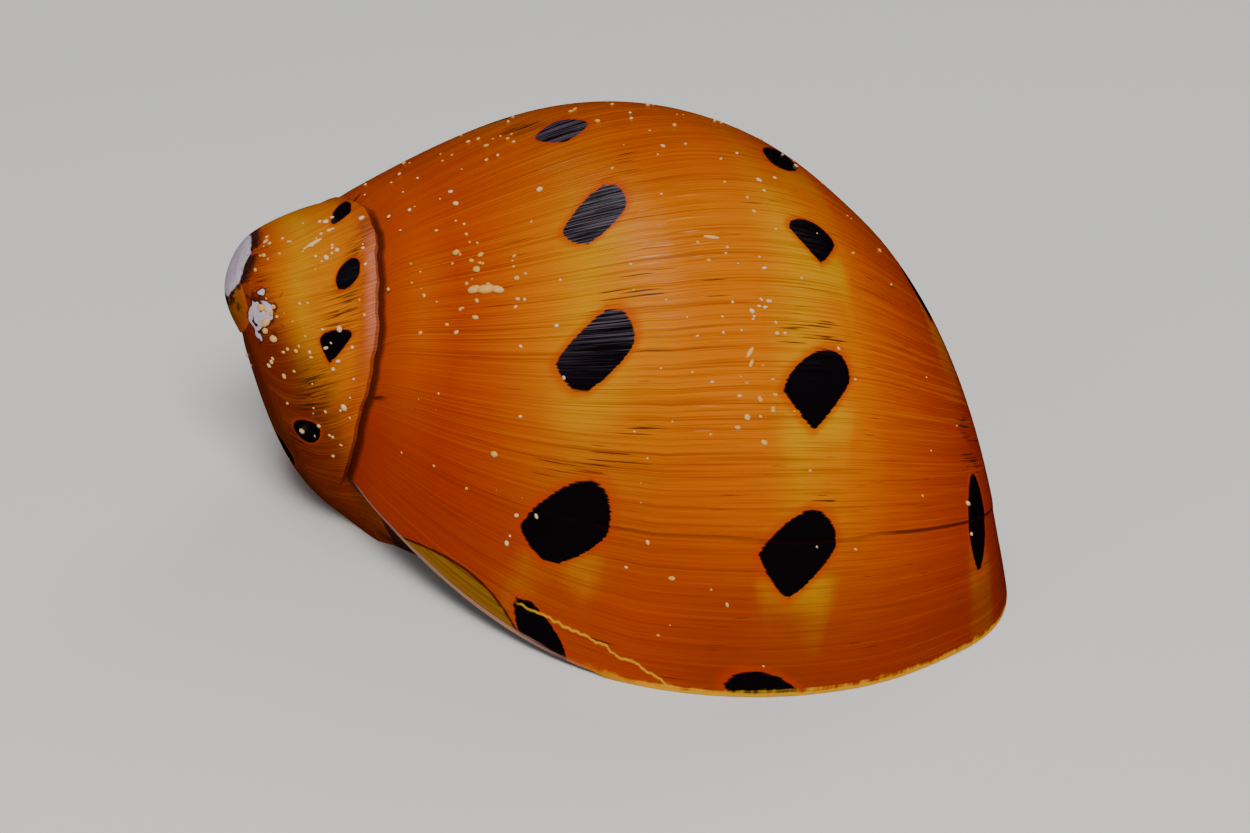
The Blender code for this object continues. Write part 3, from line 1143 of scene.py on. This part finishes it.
# painted highlight on the growth lines of the spots
SPOT_PAINTED_SHEEN = (0.11, 0.085, 0.11)
RAGGED_BY = 0.16
HALO_EDGE = (1.32, 1.02)
SPOT_EDGE = (1.03, 0.97)
SHEEN_CUT = (0.42, 0.62)
SHEEN_RAGGED_CUT = (0.35, 0.55)
SHEEN_AGES = (0.75, 1.10, 2.50, 3.00)
SHEEN_SHARES = (0.42, 0.20)

ragged = growth_noise(150.0, 22.0, 1.0)
edge = spot + (ragged - 0.5) * RAGGED_BY
skin.lay(edge.step(*HALO_EDGE), *HALO)
inside_spot = edge.step(*SPOT_EDGE)
# painted sheen: where the spots' growth lines would catch the light
sheen = fine.step(*SHEEN_CUT) * ragged.step(*SHEEN_RAGGED_CUT)
sheen = sheen * age.between(*SHEEN_AGES) * band.step(*SHEEN_SHARES)
skin.lay(inside_spot, skin.mix(sheen, BLACK, SPOT_PAINTED_SHEEN))
skin.report("spots")

# %% [markdown]
# ## The skin: a halt and some scratches
#
# The snail once stopped growing for a while, and its lip from then is still there as a thin
# dark line with a low step, bent a little towards the mouth. Two places in front of it get a
# painted highlight: fine pale strokes along the growth lines, where these catch the light.

# %% Halt and painted glints
# painted highlight: pale strokes where growth lines catch the light
PAINTED_GLINTS = ((0.85, 0.45, 0.20), 0.35)
GLINT_CUT = (0.60, 0.68)
GLINT_AGES = (1.08, 1.20, 1.36, 1.50)
GLINT_SHARES = (0.17, 0.20, 0.23, 0.28)
LOW_GLINT_AGES = (0.63, 0.66, 0.70, 0.73)
LOW_GLINT_SHARES = (0.23, 0.24, 0.27, 0.28)
HALT_DARK = (0.020, 0.003, 0.002)
HALT_BEND = 0.014
HALT_MIDDLE = 0.36
HALT_REACH = 0.09
HALT_LINE = (0.007, 0.002)
HALT_SHARES = (0.11, 0.19)
HALT_FAINT = 0.28
HALT_MORE = 0.42
HALT_MORE_SHARES = (0.44, 0.50)

# the two places that get the painted glints
glint_area = age.between(*GLINT_AGES) * band.between(*GLINT_SHARES)
low_glint_area = age.between(*LOW_GLINT_AGES) * band.between(*LOW_GLINT_SHARES)
glint_strokes = glint_area.at_least(low_glint_area) * ragged.step(*GLINT_CUT)
# painted highlight, left out inside the spots
skin.lay(glint_strokes * (1.0 - inside_spot), *PAINTED_GLINTS)

bend = (band - HALT_MIDDLE) / HALT_REACH
from_halt = age - HALT_TIME + HALT_BEND * (1.0 - bend * bend).at_least(0.0)
halt = abs(from_halt).step(*HALT_LINE) * band.step(*HALT_SHARES)
skin.lay(halt * (HALT_FAINT + band.step(*HALT_MORE_SHARES) * HALT_MORE), HALT_DARK)
skin.report("halt")

# %% [markdown]
# ## The skin: the newest growth
#
# At the lip's raised corner lies a leaf-shaped strip of fresh growth, still olive, with a dark
# edge. A thin bright line marks the edge of another. Each is a step round a growth time that
# changes across the whorl as a parabola.

# %% New growth beside the seam
OLIVE = (0.27, 0.115, 0.008)
OLIVE_DARK = (0.10, 0.030, 0.004)
OLIVE_CUT = (0.45, 0.60)
NEW_EDGE = ((0.02, 0.004, 0.002), 0.85)
NEW_AGE = 0.092
NEW_MIDDLE = 0.092
NEW_REACH = 0.047
NEW_UNEVEN = 0.010
NEW_START = (0.0, 0.006)
NEW_LINE = (0.008, 0.002)
LINE_ENDS = (0.0, 0.01)

across = (band - NEW_MIDDLE) / NEW_REACH
new_edge = (1.0 - across * across) * NEW_AGE + (ragged - 0.5) * NEW_UNEVEN
olive = skin.mix(lines.step(*OLIVE_CUT) * 0.6, OLIVE, OLIVE_DARK)
skin.lay((new_edge - age).step(*NEW_START), olive)
skin.lay(abs(new_edge - age).step(*NEW_LINE) * new_edge.step(*LINE_ENDS), *NEW_EDGE)
skin.report("new growth")

# %% [markdown]
# ## The skin: the edge of the lip
#
# The lip is so thin that light shines through it, so its edge is golden, and it wavers because
# the snail never lays it down evenly. Beside the seam it carries a little pale crust.

# %% Bright line, golden lip and crust
LIP_GOLD = ((0.75, 0.36, 0.010), 0.80)
SECOND_MIDDLE = 0.145
SECOND_BEND = 7.0
SECOND_UNEVEN = 0.008
SECOND_WAVER = 0.035
SECOND_LINE = (0.005, 0.001)
SECOND_SHARES = (0.128, 0.136)
LIP_UNEVEN = 0.02
LIP_WAVER = 0.03
LIP_EDGE = (0.018, 0.006)
LIP_GOLD_SHARES = (0.16, 0.24)
CRUST = ((0.42, 0.22, 0.17), 0.70)
CRUST_UNEVEN = 0.04
CRUST_EDGE = (0.017, 0.006)
CRUST_SHARES = (0.20, 0.14)

waver = skin.noise(skin.at(band * 75.0, 0.0, 4.0), 1.0, 2.0, 0.6) - 0.5
across = band - SECOND_MIDDLE
second_edge = NEW_AGE - across * across * SECOND_BEND
second_edge = second_edge + (ragged - 0.5) * SECOND_UNEVEN + waver * SECOND_WAVER
bright_line = abs(second_edge - age).step(*SECOND_LINE)
bright_line = bright_line * second_edge.step(*LINE_ENDS) * band.step(*SECOND_SHARES)
from_lip = age + (ragged - 0.5) * LIP_UNEVEN + waver * LIP_WAVER
lip_line = from_lip.step(*LIP_EDGE) * band.step(*LIP_GOLD_SHARES)
skin.lay(bright_line.at_least(lip_line), *LIP_GOLD)
crust = (age + (ragged - 0.5) * CRUST_UNEVEN).step(*CRUST_EDGE)
skin.lay(crust * band.step(*CRUST_SHARES), *CRUST)
skin.report("lip")

# %% [markdown]
# ## The skin: the seam
# The raised edge of the older whorl casts a painted shadow into the step of the seam: a dark
# line near the lip, and dark blotches further back. That raised edge carries a pale painted
# sheen.
# The raised edge of the older whorl beside it is rubbed pale.

# %% Painted shadow and painted sheen at the seam
# painted shadow of the raised edge, in the step of the seam
SEAM_PAINTED_SHADOW = ((0.03, 0.005, 0.002), 0.85)
SEAM_SHADOW_AGES = (2.6, 1.9)
SEAM_SHADOW_SHARES = (0.006, 0.002)
BLOTCH_SHARES = (0.016, 0.006)
BLOTCH_CUT = (0.60, 0.66)
# painted highlight: a pale sheen on the raised edge of the older whorl
SEAM_PAINTED_SHEEN = ((0.80, 0.40, 0.34), 0.35)
SEAM_SHEEN_AGES = (7.3, 7.7, 8.3, 8.7)
SEAM_SHEEN_SHARES = (0.252, 0.270)
SEAM_SHEEN_CUT = (0.44, 0.58)

newest_whorl = 1.0 - spire
seam_shadow_line = band.step(*SEAM_SHADOW_SHARES) * age.step(*SEAM_SHADOW_AGES)
blotches = band.step(*BLOTCH_SHARES) * growth_noise(9.0, 0.0, 5.0).step(*BLOTCH_CUT)
# painted shadow in the step of the seam: a line, and blotches further back
skin.lay(seam_shadow_line.at_least(blotches) * newest_whorl, *SEAM_PAINTED_SHADOW)
# painted sheen on the raised edge beside the seam
seam_sheen = band.step(*SEAM_SHEEN_SHARES) * age.between(*SEAM_SHEEN_AGES)
skin.lay(seam_sheen * fine.step(*SEAM_SHEEN_CUT), *SEAM_PAINTED_SHEEN)
skin.report("seam")

# %% [markdown]
# ## The skin: the worn tip
#
# The oldest part, the tip, has lost its skin, and so has a patch below it. There the
# grey-white shell shows, scratched, with a cracked dark rim. These marks don't follow growth,
# so they are drawn by the distance from two points on the part, made uneven with noise.

# %% Worn tip and worn patch
BARE = (0.62, 0.50, 0.60)
BARE_DARK = (0.20, 0.15, 0.22)
BARE_CUT = (0.55, 0.66)
CRACK = ((0.010, 0.006, 0.006), 0.90)
CRACK_CUT = (0.42, 0.50)
PATCH_ANGLE = math.radians(352.0)
PATCH_SHARE = 0.045
# distances in millimetres
TIP_EDGE = (1.06, 1.00)
TIP_RIM = (0.98, 1.06, 1.20, 1.50)
TIP_UNEVEN = 0.5
PATCH_EDGE = (0.56, 0.50)
PATCH_RIM = (0.50, 0.56, 0.62, 0.80)
PATCH_UNEVEN = 1.9

place = skin.place()


def distance_mm(point, uneven):
    """Distance on the part from a point of the coil, made uneven by a noise about zero."""
    return skin.far(place, Vector((point - ORIGIN) * MM)) / MM + uneven


rough_edge = skin.noise(place, 1600.0, 3.0, 0.6)
lobes = skin.noise(place, 2600.0, 1.0, 0.5)
from_tip = distance_mm(TIP + WORN_FLAT * ALONG, (rough_edge - 0.5) * TIP_UNEVEN)
from_patch = distance_mm(surface(PATCH_ANGLE, PATCH_SHARE), (lobes - 0.5) * PATCH_UNEVEN)
bare = from_tip.step(*TIP_EDGE).at_least(from_patch.step(*PATCH_EDGE))
worn = growth_noise(6.0, 60.0, 9.0, 3.0, 0.6).step(*BARE_CUT)
skin.lay(bare, skin.mix(worn * 0.7, BARE, BARE_DARK))
tip_rim = from_tip.between(*TIP_RIM) * rough_edge.step(*CRACK_CUT)
skin.lay(tip_rim.at_least(from_patch.between(*PATCH_RIM) * 0.8), *CRACK)
skin.report("worn tip")

# %% [markdown]
# ## The skin: relief and gloss
#
# The growth lines can be felt with a fingernail, but they are far finer than the mesh, so a
# bump does for them. The skin is glossy like varnish, a little less where the lines are. What
# is the same all over, such as how strongly it reflects, is set on the shader's own socket.

# %% Relief and gloss
LINES_HIGH = 0.7
FINE_HIGH = 0.3
BARE_LOW = 1.5
BUMP_STRENGTH = 0.60
BUMP_HEIGHT = 0.00006
SKIN_ROUGHNESS = 0.16
ROUGHER_ON_LINES = 0.15
SMOOTHER_WHERE_BARE = 0.05
REFLECTS = 0.20

relief = lines * LINES_HIGH + fine * FINE_HIGH - bare * BARE_LOW - halt
skin.wear(
    Base_Color=skin.colour,
    Roughness=fine * ROUGHER_ON_LINES + SKIN_ROUGHNESS - bare * SMOOTHER_WHERE_BARE,
    Normal=skin.node("ShaderNodeBump", Strength=BUMP_STRENGTH, Distance=BUMP_HEIGHT, Height=relief),
    Specular_IOR_Level=REFLECTS,
)
skin.report("skin")

# %% [markdown]
# ## The inside, the deck and the raised corner
#
# Inside there is no skin, only bare cream shell, shiny where the animal slides over it. The
# wall beside the lip's raised corner is painted dark, as the shade that falls under the raised
# corner. One cloudy noise does for all three, with a loop over their colours.

# %% Colours of the bare shell
CREAM = (0.62, 0.50, 0.30)
HOLLOW_TINT = (0.50, 0.36, 0.16)
DECK_TINT = (0.66, 0.56, 0.38)
# painted shade under the lip's raised corner
CORNER_PAINTED_SHADE = (0.085, 0.022, 0.012)
CORNER_SHADE_DARK = (0.030, 0.012, 0.012)
CLOUDS = 260.0
CLOUD_CUT = (0.35, 0.65)
CORNER_SHADE_CLOUDS = 500.0
CORNER_SHADE_CUT = (0.40, 0.62)
CREAM_ROUGHNESS = 0.22
CORNER_ROUGHNESS = 0.2
CLOUD_ROUGHER = 0.2
CREAM_BUMP = 0.2
CREAM_BUMP_HEIGHT = 0.00005

for slot, tint in ((INSIDE_SLOT, HOLLOW_TINT), (DECK_SLOT, DECK_TINT)):
    cream = Finish(finishes[slot])
    cloud = cream.noise(cream.place(), CLOUDS, 4.0)
    bump = {"Strength": CREAM_BUMP, "Distance": CREAM_BUMP_HEIGHT, "Height": cloud}
    cream.wear(
        Base_Color=cream.mix(cloud.step(*CLOUD_CUT), CREAM, tint),
        Roughness=cloud * CLOUD_ROUGHER + CREAM_ROUGHNESS,
        Normal=cream.node("ShaderNodeBump", **bump),
    )
    cream.report(FINISHES[slot])

# painted shade on the wall under the lip's raised corner
shaded_corner = Finish(finishes[CORNER_SLOT])
cloud = shaded_corner.noise(shaded_corner.place(), CORNER_SHADE_CLOUDS, 4.0)
shaded_corner.wear(
    Base_Color=shaded_corner.mix(cloud.step(*CORNER_SHADE_CUT), CORNER_PAINTED_SHADE, CORNER_SHADE_DARK),
    Roughness=cloud * CLOUD_ROUGHER + CORNER_ROUGHNESS,
)
shaded_corner.report("raised corner")

# %% [markdown]
# ## Grains of lime
#
# Small grains of lime are stuck all over the skin, thickest on the spire. Each is a flattened
# ball half sunk in the skin, with few faces, because there are hundreds of them. Their places
# come from a seeded random draw, so that they are the same in every run. A few larger ones
# are crusts, and they are placed one by one.

# %% Where the grains are
GRAIN_GROUPS = (
    # middle angle, spread of it, middle share, spread of it, how many, usual radius in mm
    (385.0, 62.0, 0.170, 0.105, 90, 0.050),
    (50.0, 60.0, 0.070, 0.065, 75, 0.048),
    (50.0, 9.0, 0.075, 0.025, 22, 0.055),
    (50.0, 60.0, 0.260, 0.080, 70, 0.045),
    (47.0, 4.0, 0.290, 0.035, 14, 0.055),
    (35.0, 5.0, 0.290, 0.020, 10, 0.055),
    (55.0, 60.0, 0.500, 0.160, 40, 0.042),
    (200.0, 95.0, 0.300, 0.280, 150, 0.045),
)
CRUSTS = (
    # angle, share, half length, half width, height in mm, turned from the growth line
    (44.2, 0.067, 0.24, 0.13, 0.10, 0.35),
    (44.6, 0.075, 0.30, 0.15, 0.12, 0.15),
    (44.9, 0.083, 0.26, 0.12, 0.10, -0.10),
    (42.3, 0.283, 0.20, 0.07, 0.06, 1.35),
    (40.8, 0.284, 0.14, 0.06, 0.06, 1.50),
    (60.0, 0.257, 0.26, 0.06, 0.05, 0.05),
    (421.5, 0.172, 0.30, 0.06, 0.05, 0.60),
    (351.0, 0.062, 0.22, 0.12, 0.09, 1.20),
    (347.0, 0.078, 0.16, 0.11, 0.08, 0.70),
    (358.0, 0.058, 0.14, 0.11, 0.08, 0.30),
    (345.0, 0.055, 0.12, 0.10, 0.07, 0.90),
)
print(sum(group[4] for group in GRAIN_GROUPS), "places are drawn, and", len(CRUSTS), "given")

# %% One grain
LOWEST_GRAIN = 0.4
NEAR_SEAM = 0.01
STANDS_OUT = 0.25
# the newest strip, after the halt, lies lower than the plain coil up to about this angle
LOWERED_BEFORE = 0.5


def add_grain(bm, degrees, share, half, turned, finer):
    """One grain: a ball pressed to three half sizes, half sunk at a place on the skin."""
    angle = np.array(math.radians(degrees))
    share = np.array(share)
    normal = outward(angle, share)
    along = surface(angle, share + SMALL_STEP) - surface(angle, share - SMALL_STEP)
    along = along / np.linalg.norm(along)
    side = np.cross(normal, along)
    first = math.cos(turned) * along + math.sin(turned) * side
    second = np.cross(normal, first)
    lowered = HALT_STEP * (angle < LOWERED_BEFORE)
    point = surface(angle, share) + normal * (STANDS_OUT * half[2] - lowered)
    columns = [Vector(axis * size) for axis, size in zip((first, second, normal), half)]
    matrix = Matrix(columns).transposed().to_4x4()
    matrix.translation = Vector(point)
    bmesh.ops.create_icosphere(bm, subdivisions=2 if finer else 1, radius=1.0, matrix=matrix)


def off_skin(degrees, t):
    """Whether a place is under the next whorl, or down at the mouth plane."""
    covered = degrees > math.degrees(COVERED_FROM) and t > JOIN - NEAR_SEAM
    return covered or float(surface(math.radians(degrees), t)[2]) <= LOWEST_GRAIN


print("the middle of a grain is", STANDS_OUT, "of its half height above the skin")

# %% Scatter the grains
SEED = 11
GRAIN_VARIETY = 0.35
LONGER = (1.0, 1.8)
LOWER = (0.5, 0.9)
GRAIN_TURN = 0.8
GRAIN_SHARES = (0.004, 0.9)

draw = np.random.RandomState(SEED)
bm = bmesh.new()
for middle, reach, share, share_reach, count, radius in GRAIN_GROUPS:
    for _ in range(count):
        size = radius * math.exp(GRAIN_VARIETY * draw.normal())
        half = (size * draw.uniform(*LONGER), size, size * draw.uniform(*LOWER))
        degrees = middle + reach * draw.uniform(-1.0, 1.0)
        t = float(np.clip(share + share_reach * draw.uniform(-1.0, 1.0), *GRAIN_SHARES))
        if not off_skin(degrees, t):
            add_grain(bm, degrees, t, half, draw.uniform(-GRAIN_TURN, GRAIN_TURN), False)
for degrees, t, length, width, height, turned in CRUSTS:
    add_grain(bm, degrees, t, (length, width, height), turned, True)
for face in bm.faces:
    face.smooth = True
grains = new_object("lime_grains", bm)
move_to_part(grains)
print("grains:", len(grains.data.polygons), "faces")

# %% Colour of the lime
LIME_PALE = (0.85, 0.62, 0.36)
LIME_YELLOW = (0.75, 0.38, 0.08)
LIME_CLOUDS = 300.0
LIME_ROUGHNESS = 0.2

lime_material = bpy.data.materials.new("lime")
lime = Finish(lime_material)
tint = lime.noise(lime.place(), LIME_CLOUDS, 2.0)
lime.wear(
    Base_Color=lime.mix(tint.step(*CLOUD_CUT), LIME_PALE, LIME_YELLOW),
    Roughness=tint * CLOUD_ROUGHER + LIME_ROUGHNESS,
)
grains.data.materials.append(lime_material)
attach(grains, "root")
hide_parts("shell")
lime.report("lime")

# %% [markdown]
# ## Camera
#
# The camera looks down at the shell from its lip side with a long lens, as one does to see a
# small thing without bending its shape.

# %% Camera
VIEW_AZIMUTH = math.radians(-0.4)
VIEW_ELEVATION = math.radians(29.1)
VIEW_DISTANCE = 118.1
VIEW_CENTRE = (0.49, 2.31)
LENS = 105.0
FILM_WIDTH = 36.0
NEAREST_SEEN = 0.001

level = math.cos(VIEW_ELEVATION)
away = Vector((math.sin(VIEW_AZIMUTH) * level, -math.cos(VIEW_AZIMUTH) * level, 0.0))
away.z = math.sin(VIEW_ELEVATION)
aside = Vector((0.0, 0.0, 1.0)).cross(away).normalized()
above = away.cross(aside)
looked_at = aside * VIEW_CENTRE[0] + above * VIEW_CENTRE[1] - Vector(ORIGIN)
camera = bpy.data.objects.new("camera", bpy.data.cameras.new("camera"))
camera.data.lens = LENS
camera.data.sensor_width = FILM_WIDTH
camera.data.clip_start = NEAREST_SEEN
camera.location = (looked_at + away * VIEW_DISTANCE) * MM
camera.rotation_euler = away.to_track_quat("Z", "Y").to_euler()
bpy.context.scene.collection.objects.link(camera)
bpy.context.scene.camera = camera
print("camera at, mm:", [round(1000.0 * value, 1) for value in camera.location])

# %% [markdown]
# ## Floor and light
#
# A pale floor and four soft lamps show the form without hard shadows. On a dark glossy skin a
# wide lamp or a bright floor mirrors as a pale veil, above all where the surface turns away.
# So the wide lamps, the floor and the sky only light the shell. The one lamp that is also
# mirrored is small and overhead, and gives a short highlight on the shoulder.

# %% Floor and light
FLOOR_HALF = 0.6
FLOOR_GAP = 0.00002
FLOOR_COLOUR = (0.80, 0.785, 0.76)
FLOOR_ROUGHNESS = 0.8
MIRRORED_LAMP = "glint"
LAMPS = (
    # name, place, width, power
    ("key", (0.02, -0.16, 0.21), 0.10, 0.65),
    (MIRRORED_LAMP, (-0.05, 0.03, 0.235), 0.05, 0.06),
    ("fill", (-0.16, -0.12, 0.10), 0.14, 0.06),
    ("rim", (0.08, 0.16, 0.16), 0.10, 0.12),
)
SKY_COLOUR = (0.9, 0.93, 1.0)
SKY_STRENGTH = 0.10

bm = bmesh.new()
bmesh.ops.create_grid(bm, x_segments=1, y_segments=1, size=FLOOR_HALF)
floor = new_object("floor", bm)
floor.location.z = -FLOOR_GAP
paper_material = bpy.data.materials.new("floor")
paper = Finish(paper_material)
paper.wear(Base_Color=FLOOR_COLOUR, Roughness=FLOOR_ROUGHNESS)
floor.data.materials.append(paper_material)
floor.visible_glossy = False

for name, place, size, power in LAMPS:
    lamp = bpy.data.objects.new(name, bpy.data.lights.new(name, "AREA"))
    lamp.data.size = size
    lamp.data.energy = power
    lamp.location = place
    lamp.rotation_euler = Vector(place).to_track_quat("Z", "Y").to_euler()
    lamp.visible_glossy = name == MIRRORED_LAMP
    bpy.context.scene.collection.objects.link(lamp)

world = bpy.data.worlds.new("studio")
world.use_nodes = True
sky = world.node_tree.nodes["Background"]
put(world.node_tree, sky.inputs["Color"], SKY_COLOUR)
put(world.node_tree, sky.inputs["Strength"], SKY_STRENGTH)
world.cycles_visibility.glossy = False
bpy.context.scene.world = world
print(len(LAMPS), "lamps, of which one is mirrored")
